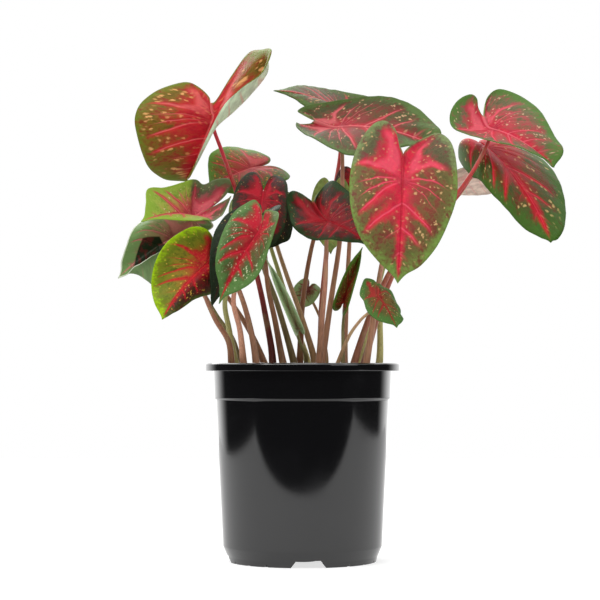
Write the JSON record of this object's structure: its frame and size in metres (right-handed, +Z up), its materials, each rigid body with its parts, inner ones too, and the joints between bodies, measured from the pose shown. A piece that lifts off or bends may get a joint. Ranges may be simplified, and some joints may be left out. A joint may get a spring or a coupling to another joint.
{
  "type": "potted caladium plant",
  "caption": "Potted foliage plant: heart-shaped patterned leaves on thin stalks that rise from tubers in soil, held in a tapered plastic nursery pot with a rolled rim.",
  "frame": {"origin": "centre of the pot's foot, on the surface that it stands on", "axes": "+Z up along the pot's axis, -Y towards the side that the picture shows, +X to the right as seen from that side"},
  "size_m": [0.3768, 0.258, 0.4283],
  "materials": {
    "pot": "glossy black plastic",
    "soil": "rough dark potting soil",
    "tuber": "rough brown skin",
    "blade": "satin leaf, green with red veins and pale spots",
    "stalk": "smooth tan to reddish stem"
  },
  "bodies": {
    "root": {"pot": "pot", "soil": "soil", "tuber_1": "tuber", "tuber_2": "tuber", "tuber_3": "tuber", "tuber_4": "tuber", "leaf_01_blade": "blade", "leaf_01_stalk": "stalk", "leaf_02_blade": "blade", "leaf_02_stalk": "stalk", "leaf_03_blade": "blade", "leaf_03_stalk": "stalk", "leaf_04_blade": "blade", "leaf_04_stalk": "stalk", "leaf_05_blade": "blade", "leaf_05_stalk": "stalk", "leaf_06_blade": "blade", "leaf_06_stalk": "stalk", "leaf_07_blade": "blade", "leaf_07_stalk": "stalk", "leaf_08_blade": "blade", "leaf_08_stalk": "stalk", "leaf_09_blade": "blade", "leaf_09_stalk": "stalk", "leaf_10_blade": "blade", "leaf_10_stalk": "stalk", "leaf_11_blade": "blade", "leaf_11_stalk": "stalk", "leaf_12_blade": "blade", "leaf_12_stalk": "stalk", "leaf_13_blade": "blade", "leaf_13_stalk": "stalk", "leaf_14_blade": "blade", "leaf_14_stalk": "stalk", "leaf_15_blade": "blade", "leaf_15_stalk": "stalk", "leaf_16_blade": "blade", "leaf_16_stalk": "stalk", "leaf_17_blade": "blade", "leaf_17_stalk": "stalk", "leaf_18_blade": "blade", "leaf_18_stalk": "stalk", "leaf_19_blade": "blade", "leaf_19_stalk": "stalk", "leaf_20_blade": "blade", "leaf_20_stalk": "stalk", "leaf_21_blade": "blade", "leaf_21_stalk": "stalk", "leaf_22_blade": "blade", "leaf_22_stalk": "stalk", "leaf_23_blade": "blade", "leaf_23_stalk": "stalk", "leaf_24_blade": "blade", "leaf_24_stalk": "stalk", "leaf_25_blade": "blade", "leaf_25_stalk": "stalk"}
  },
  "joints": []
}
